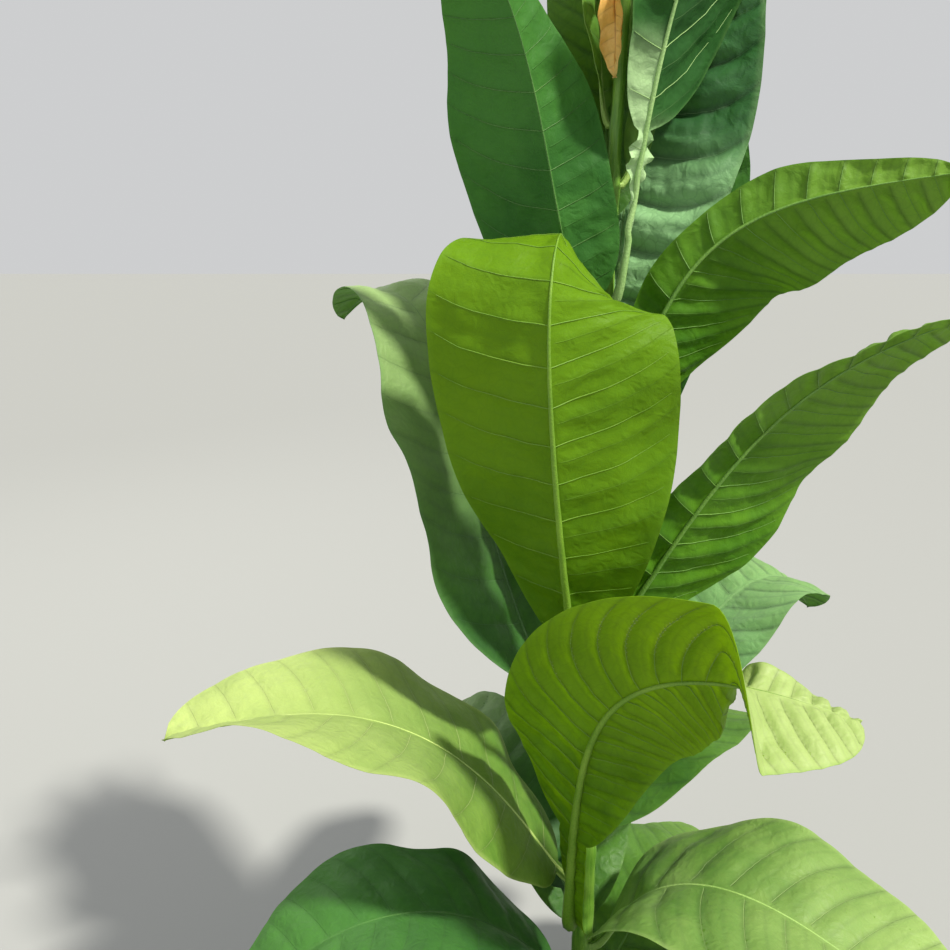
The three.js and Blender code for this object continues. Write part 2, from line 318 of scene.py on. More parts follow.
SKINS = {
    "blue": leaf_skins(
        "blue_leaf",
        (paint(44, 88, 36), paint(64, 112, 48), paint(178, 208, 134)),
        (paint(42, 84, 36), paint(66, 108, 46), paint(120, 160, 84)),
        paint(110, 156, 92), paint(150, 196, 84), 0.36, 0.15),
    # Painted sheen: a paler upper skin that stands in for the sky's sheen on leaf_14.
    "silver": leaf_skins(
        "painted_sheen_leaf",
        (paint(84, 138, 76), paint(124, 176, 112), paint(154, 194, 120)),
        (paint(60, 108, 50), paint(92, 138, 70), paint(120, 160, 90)),
        paint(140, 184, 116), paint(150, 196, 84), 0.34, 0.5),
    # The pale colour at the foot of this finish is painted sheen.
    "puckered": leaf_skins(
        "puckered_leaf",
        (paint(46, 94, 50), paint(60, 112, 62), paint(170, 222, 156)),
        (paint(50, 98, 44), paint(72, 120, 60), paint(92, 138, 70)),
        paint(150, 192, 128), paint(150, 196, 84), 0.34, 0.5, (0.5, 0.32, 0)),
    "deep": leaf_skins(
        "deep_leaf",
        (paint(46, 96, 42), paint(70, 124, 54), paint(86, 142, 62)),
        (paint(50, 102, 42), paint(72, 128, 54), paint(80, 136, 60)),
        paint(84, 138, 60), paint(140, 190, 74), 0.36, 0.1),
    # The pale colour at the foot of the winged stalk is painted sheen.
    "winged": leaf_skins(
        "winged_leaf",
        (paint(46, 92, 42), paint(62, 112, 54), paint(204, 234, 178)),
        (paint(44, 90, 40), paint(60, 110, 52), paint(200, 234, 172)),
        paint(110, 156, 84), paint(150, 196, 84), 0.34, 0.15, (0.38, 0.27, 0.16)),
    "plain": leaf_skins(
        "plain_leaf",
        (paint(54, 102, 34), paint(90, 138, 52), paint(130, 168, 78)),
        (paint(60, 104, 28), paint(92, 134, 42), paint(120, 156, 60)),
        paint(120, 164, 72), paint(168, 200, 62), 0.4, 0.3),
    "quilted": leaf_skins(
        "quilted_leaf",
        (paint(66, 122, 22), paint(104, 160, 38), paint(136, 176, 72)),
        (paint(64, 114, 22), paint(98, 148, 34), paint(126, 164, 64)),
        paint(110, 158, 54), paint(164, 202, 52), 0.38, 0.35),
    "bright": leaf_skins(
        "bright_leaf",
        (paint(88, 132, 50), paint(138, 172, 88), paint(170, 198, 114)),
        (paint(80, 126, 36), paint(112, 152, 54), paint(140, 172, 78)),
        paint(180, 208, 126), paint(168, 200, 70), 0.38, 0.35),
    "sunlit": leaf_skins(
        "sunlit_leaf",
        (paint(168, 190, 104), paint(196, 212, 140), paint(206, 222, 150)),
        (paint(72, 116, 14), paint(92, 136, 20), paint(104, 146, 24)),
        paint(116, 158, 44), paint(198, 218, 52), 0.4, 0.1),
    "glowing": leaf_skins(
        "glowing_leaf",
        (paint(140, 168, 84), paint(170, 192, 108), paint(192, 210, 136)),
        (paint(60, 102, 18), paint(100, 146, 22), paint(150, 190, 26)),
        paint(128, 170, 50), paint(196, 222, 50), 0.42, 0.25),
    "pale": leaf_skins(
        "pale_leaf",
        (paint(92, 134, 46), paint(126, 162, 70), paint(204, 222, 134)),
        (paint(84, 124, 36), paint(112, 148, 50), paint(160, 186, 84)),
        paint(206, 220, 140), paint(190, 210, 80), 0.36, 0.15),
    "young": leaf_skins(
        "young_leaf",
        (paint(96, 146, 56), paint(132, 176, 80), paint(160, 198, 100)),
        (paint(112, 152, 62), paint(146, 182, 90), paint(160, 192, 100)),
        paint(176, 202, 122), paint(188, 216, 96), 0.4, 0.2),
    "withered": leaf_skins(
        "withered_leaf",
        (paint(240, 186, 86), paint(252, 218, 124), paint(255, 228, 146)),
        (paint(244, 192, 92), paint(252, 222, 130), paint(255, 230, 152)),
        paint(196, 136, 62), paint(255, 214, 118), 0.44, 0.1),
}
print("leaf finishes:", ", ".join(SKINS))

# %% [markdown]
# ## The skin of the ribs and the stem
#
# The ribs under a leaf and the stem are juicy and pale, with long streaks. Both read Object
# coordinates, because nothing on them follows a flat pattern.

# %% Rib and stem skins
STREAK_SCALE = 420
CLOUD_SCALE = 22
SPECK_SCALE = 900
STREAK_RELIEF = {"Strength": 0.5, "Distance": 0.0006}


def streaked_skin(name, dark, light, streaks, gloss):
    """A pale juicy skin with streaks along its length."""
    material, start = new_material(name)
    place = start.node("ShaderNodeTexCoord")["Object"]
    stretched = place.node("ShaderNodeMapping", {}, {"Vector": place, "Scale": (1, 1, streaks)})
    lines = step_up(noise(stretched, STREAK_SCALE, 3), 0.35, 0.65)
    clouds = step_up(noise(place, CLOUD_SCALE, 3), 0.35, 0.7)
    specks = 1 - step_up(noise(place, SPECK_SCALE, 2), 0.3, 0.42)
    colour = mixed(lines * 0.45 + clouds * 0.55, dark, light)
    colour = mixed(specks * 0.35, colour, dark)
    height = lines * 0.6 + specks * 0.4
    relief = height.node("ShaderNodeBump", {}, {**STREAK_RELIEF, "Height": height})
    surface = start.node("ShaderNodeBsdfPrincipled", {}, {
        "Base Color": colour,
        "Roughness": gloss + clouds * 0.12,
        "Specular IOR Level": 0.5,
        "Normal": relief,
    })
    start.node("ShaderNodeOutputMaterial", {}, {"Surface": surface})
    return material


# The ribs of each finish are coloured to match it, with the same painted sunlight, shade and sheen.
RIB_SKINS = {
    "blue": streaked_skin("blue_rib", paint(78, 120, 64), paint(108, 146, 84), 1, 0.5),
    "silver": streaked_skin("painted_sheen_rib", paint(106, 150, 84), paint(140, 176, 108), 1, 0.5),
    "deep": streaked_skin("deep_rib", paint(62, 108, 42), paint(88, 132, 58), 1, 0.5),
    "plain": streaked_skin("plain_rib", paint(84, 128, 46), paint(112, 152, 64), 1, 0.5),
    "puckered": streaked_skin("puckered_rib", paint(106, 150, 84), paint(140, 176, 108), 1, 0.5),
    "winged": streaked_skin("winged_rib", paint(140, 180, 104), paint(168, 202, 130), 1, 0.5),
    "quilted": streaked_skin("quilted_rib", paint(84, 128, 44), paint(116, 158, 62), 1, 0.5),
    "bright": streaked_skin("bright_rib", paint(126, 166, 74), paint(160, 192, 104), 1, 0.5),
    "sunlit": streaked_skin("sunlit_rib", paint(94, 136, 26), paint(122, 160, 44), 1, 0.5),
    "glowing": streaked_skin("glowing_rib", paint(94, 134, 30), paint(126, 160, 50), 1, 0.5),
    "pale": streaked_skin("pale_rib", paint(160, 190, 92), paint(196, 214, 126), 1, 0.5),
    "young": streaked_skin("young_rib", paint(148, 184, 84), paint(180, 206, 116), 1, 0.5),
    "withered": streaked_skin("withered_rib", paint(104, 66, 36), paint(150, 104, 60), 1, 0.6),
}
STEM_SKIN = streaked_skin("stem_skin", paint(86, 134, 38), paint(128, 170, 62), 0.06, 0.45)
HAIR_SKIN = streaked_skin("hair_skin", paint(146, 184, 92), paint(180, 208, 126), 1, 0.5)

# %% [markdown]
# ## The stem's rule and the leaves' rule
#
# The source makes the stem as a tapering line that sways a little, and each leaf from a few named
# numbers: how steeply it leaves the stem, where and how suddenly it bends over, how wide it is
# and how its two halves are lifted and ruffled. The same rule is written here again, in
# millimetres, and worked out for a whole blade at once with arrays.

# %% The stem's rule
MM = 0.001
STEM_HEIGHT = 1700
STEM_FOOT_RADIUS = 16.5
STEM_TIP_RADIUS = 5.5
STEM_TAPER = 1.15
ROOT_FLARE = 6
FLARE_HEIGHT = 35
SWAY_X = 6
SWAY_X_TURNS = 1.1
SWAY_Y = 5
SWAY_Y_TURNS = 0.85


def stem_centre(z):
    k = np.asarray(z, float) / STEM_HEIGHT
    x = SWAY_X * np.sin(2 * np.pi * SWAY_X_TURNS * k) * k
    y = SWAY_Y * np.sin(2 * np.pi * SWAY_Y_TURNS * k)
    return np.stack([x, y, k * STEM_HEIGHT], axis=-1)


def stem_radius(z):
    z = np.asarray(z, float)
    share = np.clip(z / STEM_HEIGHT, 0, 1) ** STEM_TAPER
    tapered = STEM_FOOT_RADIUS - (STEM_FOOT_RADIUS - STEM_TIP_RADIUS) * share
    return tapered + ROOT_FLARE * np.exp(-z / FLARE_HEIGHT)


print("stem radius at 1 m, in millimetres:", round(float(stem_radius(1000)), 2))

# %% The leaves, from the lowest to the highest
LEAF_TO_STEM_GAP = 0.35
CLASP_LIFT = 30
CLASP_SHARE = 0.1
FLIP_SHARE = 0.07
OUTLINE_POWER = 1.24
NARROWEST_HALF = 0.5
AURICLE_PLACE = 0.29
AURICLE_SHARE = 0.05
DEFAULTS = dict(
    rise=60, droop=-10, bend=0.55, snap=6, out=30, ease=0.035, sweep=0, roll=0, twist=0, flip=0,
    flip_at=0.8, tip_left=1, left=12, right=12, curl=-12, lop=0, wave=0.06, waves=3, phase=0,
    wide=0.5, full=1, neck=0.06, stalk=9, skin="plain", slot="leaf", pucker=3, ribs=12,
    crumple=0.9, frill=0, auricle=0, thick=0.8, rows=124, columns=18, lag=0.3, rib_points=16, midrib=1)
LEAVES = [
    dict(name="leaf_01", z=110, heading=70, length=360, width=170, rise=42, droop=-42, bend=0.35),
    dict(name="leaf_02", z=175, heading=305, length=420, width=190, rise=48, droop=-40, bend=0.4),
    dict(name="leaf_03", z=235, heading=170, length=470, width=210, rise=48, droop=-42, bend=0.42),
    dict(name="leaf_04", z=300, heading=45, length=520, width=230, rise=50, droop=-40, bend=0.45),
    dict(name="leaf_05", z=345, heading=258, length=540, width=240, rise=48, droop=-40, bend=0.45),
    dict(name="leaf_06", z=390, heading=198, length=560, width=250, rise=54, droop=-40, skin="deep"),
    dict(name="leaf_07", z=415, heading=95, length=580, width=240, rise=52, droop=-40, bend=0.45),
    dict(name="leaf_08", z=445, heading=325, length=610, width=290, rise=72, droop=-25, bend=0.36,
         snap=8, skin="bright", pucker=4),
    dict(name="leaf_09", z=490, heading=130, length=560, width=210, rise=60, droop=-50, bend=0.5,
         skin="blue"),
    dict(name="leaf_10", z=510, heading=246, length=700, width=226, rise=84, droop=-25, bend=0.69,
         snap=9, sweep=120, roll=-44, twist=-22, flip=85, flip_at=0.81, tip_left=0.5, left=-8,
         lop=-0.16, wide=0.54, neck=0.24, stalk=29, skin="glowing", ribs=24, pucker=5, rows=260,
         columns=44, rib_points=56, midrib=1.6),
    dict(name="leaf_11", z=550, heading=190, length=650, width=270, rise=62, droop=-14, bend=0.6,
         left=-30, left_end=42, right=18, lop=0.05, wide=0.52, full=1.2, skin="pale", pucker=2.2),
    dict(name="leaf_12", z=600, heading=48, length=480, width=200, rise=40, droop=-40, bend=0.5),
    dict(name="leaf_13", z=650, heading=80, length=600, width=240, rise=58, droop=-30, bend=0.5),
    dict(name="leaf_14", z=715, heading=33, length=510, width=200, rise=46, droop=-60, bend=0.78,
         snap=9, skin="silver"),
    dict(name="leaf_15", z=770, heading=146, length=750, width=310, rise=72, droop=-50, bend=0.87,
         snap=20, ease=0.15, wide=0.42, neck=0.12, skin="blue", ribs=14),
    dict(name="leaf_16", z=845, heading=236, length=690, width=276, rise=72, droop=200, bend=0.87,
         snap=18, sweep=25, left=8, left_end=60, right=8, curl=-15, lop=0.06, wide=0.64, neck=0.12,
         skin="sunlit", ribs=14, pucker=2.6, rows=180, columns=26, lag=0.08, rib_points=30,
         midrib=1.3),
    dict(name="leaf_17", z=890, heading=100, length=560, width=220, rise=76, droop=20, bend=0.7),
    dict(name="leaf_18", z=930, heading=345, length=570, width=180, rise=64, droop=20, bend=0.75,
         roll=-50, twist=30, left=-10, lop=0.42, wide=0.42, skin="quilted", ribs=14, pucker=5,
         rows=190, columns=26, rib_points=30),
    dict(name="leaf_19", z=1040, heading=114, length=500, width=185, rise=66, droop=0, bend=0.65),
    dict(name="leaf_20", z=1125, heading=45, length=500, width=160, rise=56, droop=75, lop=0.15,
         skin="deep"),
    dict(name="leaf_21", z=1190, heading=345, length=495, width=155, rise=76, droop=8, bend=0.5,
         snap=9, roll=-50, left=0, right=60, lop=0.5, skin="quilted", ribs=14, pucker=4,
         rows=180, columns=26, rib_points=30),
    dict(name="leaf_22", z=1225, heading=66, length=640, width=198, rise=81, droop=55, bend=0.7,
         lop=-0.4, neck=0.14, skin="puckered", pucker=10, ribs=13, crumple=1.6, rows=220,
         columns=26, lag=-0.25, rib_points=30),
    dict(name="leaf_23", z=1280, heading=138, length=350, width=116, rise=60, droop=70, bend=0.6,
         out=40, ease=0.1, lop=-0.25),
    dict(name="leaf_24", z=1320, heading=215, length=460, width=180, rise=80, droop=50, bend=0.8,
         out=38, ease=0.14, sweep=-5, roll=28, left=10, left_end=120, right=10, lop=-0.25, wide=0.38,
         skin="deep", pucker=2, lag=0.16, midrib=0.2),
    dict(name="leaf_25", z=1345, heading=302, length=540, width=210, rise=82, droop=60, bend=0.6,
         sweep=10, left=20, right=20, lop=0.5, neck=0.34, stalk=6, skin="winged", frill=6, auricle=11),
    dict(name="leaf_26", z=1410, heading=95, length=440, width=130, rise=80, droop=55, bend=0.7,
         pucker=1.6, crumple=0.4),
    dict(name="leaf_27", z=1470, heading=5, length=370, width=100, rise=80, droop=58, bend=0.7,
         stalk=6, skin="young", pucker=1.2, crumple=0.4),
    dict(name="leaf_28", z=1530, heading=150, length=310, width=85, rise=84, droop=62, bend=0.7,
         stalk=5, skin="young", pucker=1.6),
    dict(name="leaf_29", z=1590, heading=50, length=250, width=62, rise=84, droop=64, bend=0.7,
         stalk=4, skin="young", pucker=1.2),
    dict(name="leaf_30", z=1640, heading=140, length=190, width=44, rise=84, droop=66, bend=0.7,
         stalk=4, skin="young", pucker=0.9, crumple=0.4),
    dict(name="withered_leaf", z=1670, heading=246, length=120, width=38, rise=20, droop=-100, bend=0.2,
         snap=20, left=35, right=25, curl=40, wave=0.2, waves=4, stalk=3, skin="withered",
         slot="withered_leaf", pucker=0.8, ribs=8, crumple=1.3, thick=0.4),
]


def complete(line):
    """A leaf's own numbers over what every leaf starts from."""
    leaf = SimpleNamespace(**{**DEFAULTS, **line})
    leaf.left_end = line.get("left_end", leaf.left)
    leaf.right_end = line.get("right_end", leaf.right)
    return leaf


leaves = [complete(line) for line in LEAVES]
print("leaves:", len(leaves), "longest in millimetres:", max(leaf.length for leaf in leaves))

# %% The leaf's rule


def smooth(x):
    t = np.clip(x, 0, 1)
    return t * t * (3 - 2 * t)


def bend_share(s, leaf):
    """How much of its bend a leaf has made by the share s of its length."""
    curve = 1 / (1 + np.exp(-leaf.snap * (s - leaf.bend)))
    first = 1 / (1 + np.exp(leaf.snap * leaf.bend))
    last = 1 / (1 + np.exp(-leaf.snap * (1 - leaf.bend)))
    return (curve - first) / (last - first)


def past_flip(s, leaf):
    """How much of its late turn a leaf has made."""
    return smooth((s - leaf.flip_at) / FLIP_SHARE + 0.5)


def outward(leaf):
    turn = np.radians(leaf.heading)
    return np.array([np.cos(turn), np.sin(turn), 0])


def leaf_frame(s, leaf):
    """Along the midrib, out of the upper skin, and towards the right half."""
    start = leaf.out * np.exp(-s / leaf.ease)
    steep = np.radians(leaf.rise + (leaf.droop - leaf.rise) * bend_share(s, leaf) - start)
    turn = np.radians(leaf.heading + leaf.sweep * s)
    rolled = np.radians(leaf.roll + leaf.twist * s + leaf.flip * past_flip(s, leaf))[:, None]
    flat = np.cos(steep)
    along = np.stack([flat * np.cos(turn), flat * np.sin(turn), np.sin(steep)], axis=-1)
    up = np.stack([-np.sin(steep) * np.cos(turn), -np.sin(steep) * np.sin(turn), flat], axis=-1)
    side = np.stack([np.sin(turn), -np.cos(turn), 0 * turn], axis=-1)
    return along, up * np.cos(rolled) + side * np.sin(rolled), side * np.cos(rolled) - up * np.sin(rolled)


def half_width(s, leaf):
    u = np.clip((s - leaf.neck) / (1 - leaf.neck), 0, 1)
    outline = (u / leaf.wide) ** leaf.wide * ((1 - u) / (1 - leaf.wide)) ** (1 - leaf.wide)
    blade = outline ** (OUTLINE_POWER / leaf.full)
    wing = leaf.stalk * np.sqrt(1 - s) * (1 - blade)
    return np.maximum(leaf.width / 2 * blade + wing, NARROWEST_HALF)


def reach_of(s, leaf, hand):
    """How wide the left half (hand is -1) or the right one (hand is 1) is."""
    kept = np.where(np.asarray(hand) < 0, 1 - (1 - leaf.tip_left) * past_flip(s, leaf), 1)
    auricle = leaf.auricle * np.exp(-(((s - AURICLE_PLACE) / AURICLE_SHARE) ** 2))
    return half_width(s, leaf) * (1 - np.asarray(hand) * leaf.lop) * kept + auricle


# %% [markdown]
# ## A blade with blistered skin
#
# Between its side veins a tobacco leaf bulges upwards like quilting, and the veins lie in the
# valleys. The fine blade starts as the rule's smooth surface, a grid of rows and columns. A count
# of side veins is worked out for every point, falling behind towards the margin so that the veins
# sweep to the tip, and the surface is pushed along its own normal by a rounded wave of that count.
# Slow ripples from a few fixed sine waves make the blisters uneven. Last, the surface gets an
# upper and an under skin and a rim, so that it is a closed thin leaf.

# %% The smooth blade
SEAT_ROUNDS = 8
VEIN_SWEEP = 0.2
TIP_CROWDING = 0.35
VEIN_STAGGER = 0.45


def leaf_half(leaf, s, hand, midrib, up, side):
    """The points of one half of a blade, from beside the midrib to the margin."""
    lift, lift_end = (leaf.left, leaf.left_end) if hand < 0 else (leaf.right, leaf.right_end)
    between = (np.arange(leaf.columns) + 0.5) / leaf.columns
    share = (np.arange(leaf.columns) + 1) / leaf.columns
    clasp = CLASP_LIFT * np.exp(-s / CLASP_SHARE)
    reach = reach_of(s, leaf, hand)[:, None]
    angle = np.radians((lift + (lift_end - lift) * s + clasp)[:, None] + leaf.curl * between)
    across = np.cumsum(np.cos(angle), axis=1) * reach / leaf.columns
    raised = np.cumsum(np.sin(angle), axis=1) * reach / leaf.columns
    wave = np.sin(2 * np.pi * (leaf.waves * s + leaf.phase + hand / 4))[:, None]
    raised = raised + leaf.wave * half_width(s, leaf)[:, None] * share**2 * wave
    return midrib[:, None] + hand * across[..., None] * side[:, None] + raised[..., None] * up[:, None]


def smooth_blade(leaf):
    """The rule's surface as points[row, column], from the left margin to the right one."""
    s = np.linspace(0, 1, leaf.rows + 1)
    _, up, side = leaf_frame(s, leaf)
    steps = leaf_frame((s[:-1] + s[1:]) / 2, leaf)[0] * leaf.length / leaf.rows
    foot = stem_centre(leaf.z) + (stem_radius(leaf.z) + LEAF_TO_STEM_GAP) * outward(leaf)
    midrib = foot + np.vstack([np.zeros(3), np.cumsum(steps, axis=0)])
    left = leaf_half(leaf, s, -1, midrib, up, side)[:, ::-1]
    right = leaf_half(leaf, s, 1, midrib, up, side)
    return np.concatenate([left, midrib[:, None], right], axis=1)


def seated(points, leaf):
    """Moves a blade straight out until its nearest point clears the stem by the gap."""
    below_tip = points[..., 2] < STEM_HEIGHT
    for _ in range(SEAT_ROUNDS):
        off_axis = (points - stem_centre(points[..., 2]))[..., :2]
        clear = np.linalg.norm(off_axis, axis=-1) - stem_radius(points[..., 2])
        points = points + (LEAF_TO_STEM_GAP - clear[below_tip].min()) * outward(leaf)
    return points


def surface_normals(points):
    """The upper side's normal at each point of a grid."""
    across = np.gradient(points, axis=1)
    along = np.gradient(points, axis=0)
    normals = np.cross(across, along)
    return normals / np.maximum(np.linalg.norm(normals, axis=-1, keepdims=True), 1e-9)


# %% Blisters and ruffles
FLUTTER_SHARE = 0.03
FLUTTER_LENGTH = 130
FRILL_PACE = 3.2
VEIN_ROUND = 0.1
PLEAT_SHARE = 0.22
RIPPLE_WAVES = 9
UNEVEN_LENGTH = 120
UNEVEN_SHARE = 0.35
SLOW_LENGTH = 70
SLOW_HEIGHT = 1.2
FAST_LENGTH = 24
FAST_HEIGHT = 0.55


def ripples(x, y, size, seed):
    """A gentle uneven wave about 1 high, made of a few sine waves in fixed directions."""
    draw = np.random.default_rng(seed)
    total = 0
    for _ in range(RIPPLE_WAVES):
        turn, phase = draw.uniform(0, 2 * np.pi, 2)
        pace = 2 * np.pi / size * draw.uniform(0.55, 1.5)
        total = total + np.sin(pace * (x * np.cos(turn) + y * np.sin(turn)) + phase)
    return total / math.sqrt(RIPPLE_WAVES)


def vein_lag(beside, leaf):
    """How far a side vein has swept on towards the tip, beside mm from the midrib."""
    return (leaf.lag * beside + VEIN_SWEEP * beside**3 / (leaf.width / 2) ** 2) / leaf.length


def vein_count(s, beside, leaf):
    """How many side veins lie below a point that is beside mm from the midrib."""
    t = np.clip(s - vein_lag(beside, leaf), -0.2, 1)
    return leaf.ribs * (t + TIP_CROWDING * t * np.abs(t)) / (1 + TIP_CROWDING)


def blade_chart(leaf, seed):
    """Where each point of the grid lies on the flattened blade, and its vein count."""
    s = np.linspace(0, 1, leaf.rows + 1)[:, None]
    q = np.linspace(-1, 1, 2 * leaf.columns + 1)[None, :]
    x = q * reach_of(s, leaf, np.sign(q))
    count = vein_count(s + 0 * q, np.abs(x), leaf) + VEIN_STAGGER * (q < 0)
    return SimpleNamespace(s=s + 0 * q, q=q + 0 * s, x=x, y=s * leaf.length + 0 * q, count=count, seed=seed)


def bulging(count):
    """A row of round bulges, with a valley wherever the count is a whole number."""
    swing = np.sqrt(np.sin(np.pi * count) ** 2 + VEIN_ROUND) - math.sqrt(VEIN_ROUND)
    return swing / (math.sqrt(1 + VEIN_ROUND) - math.sqrt(VEIN_ROUND))


def blistered(points, chart, leaf):
    """Pushes the skin out between the side veins and ripples it."""
    from_midrib = smooth(np.abs(chart.q) / 0.16)
    to_margin = 1 - 0.75 * smooth((np.abs(chart.q) - 0.72) / 0.28)
    from_foot = smooth((chart.s - 0.05) / 0.12)
    uneven = 1 + UNEVEN_SHARE * ripples(chart.x, chart.y, UNEVEN_LENGTH, chart.seed)
    quilt = (bulging(chart.count) + PLEAT_SHARE * bulging(2 * chart.count)) * uneven
    slow = ripples(chart.x, chart.y, SLOW_LENGTH, chart.seed + 1) * SLOW_HEIGHT
    fast = ripples(chart.x, chart.y, FAST_LENGTH, chart.seed + 2) * FAST_HEIGHT
    high = leaf.pucker * (quilt - 0.5) + leaf.crumple * (slow + fast)
    margin = smooth((np.abs(chart.q) - 0.55) / 0.45)
    along_margin = ripples(chart.y, 0 * chart.y, FLUTTER_LENGTH, chart.seed + 3)
    flutter = margin * half_width(chart.s, leaf) * FLUTTER_SHARE * along_margin
    near_auricle = np.exp(-(((chart.s - AURICLE_PLACE) / AURICLE_SHARE) ** 2))
    frill = leaf.frill * np.abs(chart.q) * near_auricle * np.sin(chart.y / FRILL_PACE)
    rise = (high * from_midrib * to_margin + flutter + frill) * from_foot
    return points + rise[..., None] * surface_normals(points)


# %% [markdown]
# ## From a grid to a closed leaf
#
# The upper skin uses the grid as it is and the under skin is turned round, so that both face
# outwards. A narrow rim joins them. The rim's corners are sharp, so that the shading of one skin
# doesn't spill over to the other.

# %% Closed leaves
SHARP_ANGLE = math.radians(50)
MARGIN_THINNING = 0.4


def mesh_of(name, points, faces, skins, skin_of_face=None):
    """A smooth mesh object at the origin, from points in millimetres."""
    mesh = bpy.data.meshes.new(name)
    mesh.from_pydata((np.asarray(points) * MM).tolist(), [], faces)
    for skin in skins:
        mesh.materials.append(skin)
    if skin_of_face is not None:
        mesh.polygons.foreach_set("material_index", np.asarray(skin_of_face, np.int32))
    mesh.polygons.foreach_set("use_smooth", np.ones(len(mesh.polygons), bool))
    mesh.set_sharp_from_angle(angle=SHARP_ANGLE)
    made = bpy.data.objects.new(name, mesh)
    bpy.context.scene.collection.objects.link(made)
    return made


def joined(name, groups):
    """Several objects with the same skins as one object."""
    made = groups[0]
    with bpy.context.temp_override(active_object=made, selected_editable_objects=groups):
        bpy.ops.object.join()
    made.name = name
    return made


def skin_faces(rows, columns):
    """The quads of one skin, of the other turned round, and of the rim between them."""
    grid = np.arange((rows + 1) * (columns + 1)).reshape(rows + 1, columns + 1)
    a, b, c, d = grid[:-1, :-1], grid[:-1, 1:], grid[1:, 1:], grid[1:, :-1]
    upper = np.stack([a, b, c, d], axis=-1).reshape(-1, 4)
    under = upper[:, ::-1] + grid.size
    loop = np.concatenate([grid[0, :-1], grid[:-1, -1], grid[-1, :0:-1], grid[:0:-1, 0]])
    after = np.roll(loop, -1)
    rim = np.stack([after, loop, loop + grid.size, after + grid.size], axis=-1)
    return upper, under, rim


def closed_leaf(name, middle, thick, skins, chart):
    """A thin closed leaf around a grid of points. It carries the place of each point on the blade."""
    normals = surface_normals(middle)
    half = thick / 2 * (1 - MARGIN_THINNING * np.abs(chart.q[..., None])) * normals
    points = np.concatenate([(middle + half).reshape(-1, 3), (middle - half).reshape(-1, 3)])
    faces = skin_faces(middle.shape[0] - 1, middle.shape[1] - 1)
    which = np.repeat([0, 1, 1], [len(group) for group in faces])
    made = mesh_of(name, points, np.concatenate(faces).tolist(), skins, which)
    place = np.stack([chart.x * MM, chart.y * MM, 0 * chart.x + chart.seed], axis=-1)
    share = np.stack([chart.s, np.abs(chart.q), chart.count], axis=-1)
    for label, values in (("blade_place", place), ("blade_share", share)):
        attribute = made.data.attributes.new(label, "FLOAT_VECTOR", "POINT")
        both_skins = np.tile(values.reshape(-1, 3), (2, 1)).astype(np.float32)
        attribute.data.foreach_set("vector", both_skins.ravel())
    return made


def blade_piece(leaf, seed):
    """The fine closed blade of a leaf. It keeps its grid, for the ribs to follow."""
    chart = blade_chart(leaf, seed)
    middle = blistered(seated(smooth_blade(leaf), leaf), chart, leaf)
    made = closed_leaf(leaf.name + "_blade", middle, leaf.thick, SKINS[leaf.skin], chart)
    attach(made, "root")
    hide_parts(leaf.name)
    return SimpleNamespace(made=made, middle=middle, normals=surface_normals(middle))


blades = {leaf.name: blade_piece(leaf, 10 * number + 7) for number, leaf in enumerate(leaves)}
print("blades:", len(blades), "faces in each:", len(blades["leaf_16"].made.data.polygons))

# %% [markdown]
# ## Raised ribs
#
# Under each leaf the midrib stands out like a tapering rod, and the side veins like thin cords that
# leave it on both sides and fade out before the margin. They follow the blistered surface, so
# their paths are read from the blade's own grid. What follows a path is work for Geometry Nodes:
# the paths are a mesh of edges that carries its own thickness, and one tree turns it to tubes.

# %% A tree that makes tubes along edges


def new_tree(name, *inputs):
    """A geometry tree with named inputs, each (type, name, default), and its starting wire."""
    tree = bpy.data.node_groups.new(name, "GeometryNodeTree")
    tree.interface.new_socket("Geometry", in_out="INPUT", socket_type="NodeSocketGeometry")
    for kind, label, default in inputs:
        socket = tree.interface.new_socket(label, in_out="INPUT", socket_type=kind)
        if default is not None:
            socket.default_value = default
    tree.interface.new_socket("Geometry", in_out="OUTPUT", socket_type="NodeSocketGeometry")
    return tree, Wire(tree).node("NodeGroupInput")


def finish_tree(shape, skin):
    """Ends a tree: instances made real, the material set, the result sent out."""
    real = shape.node("GeometryNodeRealizeInstances", {}, {"Geometry": shape})
    rounded = shape.node("GeometryNodeSetShadeSmooth", {}, {0: real})
    dressed = shape.node("GeometryNodeSetMaterial", {}, {"Geometry": rounded, "Material": skin})
    shape.node("NodeGroupOutput", {}, {"Geometry": dressed})


def grown(made, tree, **values):
    """Runs a tree on an object with its named inputs set, and keeps the result as its mesh."""
    modifier = made.modifiers.new(tree.name, "NODES")
    modifier.node_group = tree
    names = {item.name: item.identifier for item in tree.interface.items_tree if item.in_out == "INPUT"}
    for name, value in values.items():
        modifier[names[name]] = value
    result = made.evaluated_get(bpy.context.evaluated_depsgraph_get())
    mesh = bpy.data.meshes.new_from_object(result)
    made.modifiers.remove(modifier)
    made.data = mesh
    return made


tube_tree, given = new_tree(
    "rib_tubes", ("NodeSocketInt", "Sides", 8), ("NodeSocketMaterial", "Skin", None))
thickness = given.node("GeometryNodeInputNamedAttribute", {"data_type": "FLOAT"}, {"Name": "thick"})
paths = given.node("GeometryNodeMeshToCurve", {}, {"Mesh": given["Geometry"]})
paths = paths.node("GeometryNodeSetCurveRadius", {}, {"Curve": paths, "Radius": thickness})
ring = given.node("GeometryNodeCurvePrimitiveCircle", {}, {"Resolution": given["Sides"], "Radius": 1.0})
tubes = given.node("GeometryNodeCurveToMesh", {}, {"Curve": paths, "Profile Curve": ring, "Fill Caps": True})
if "Scale" in [socket.name for socket in tubes.socket.node.inputs]:
    tube_tree.links.new(thickness.socket, tubes.socket.node.inputs["Scale"])
finish_tree(tubes, given["Skin"])
print("tube tree nodes:", len(tube_tree.nodes))

# %% The ribs of a leaf
MIDRIB_SHARE = 0.01
SIDE_RIB_SHARE = 0.0006
THINNEST_RIB = 0.2
RIB_REACH = 0.93
ROOT_DEPTH = 5
RIB_SIDES = 8
SWEEP_ROUNDS = 12


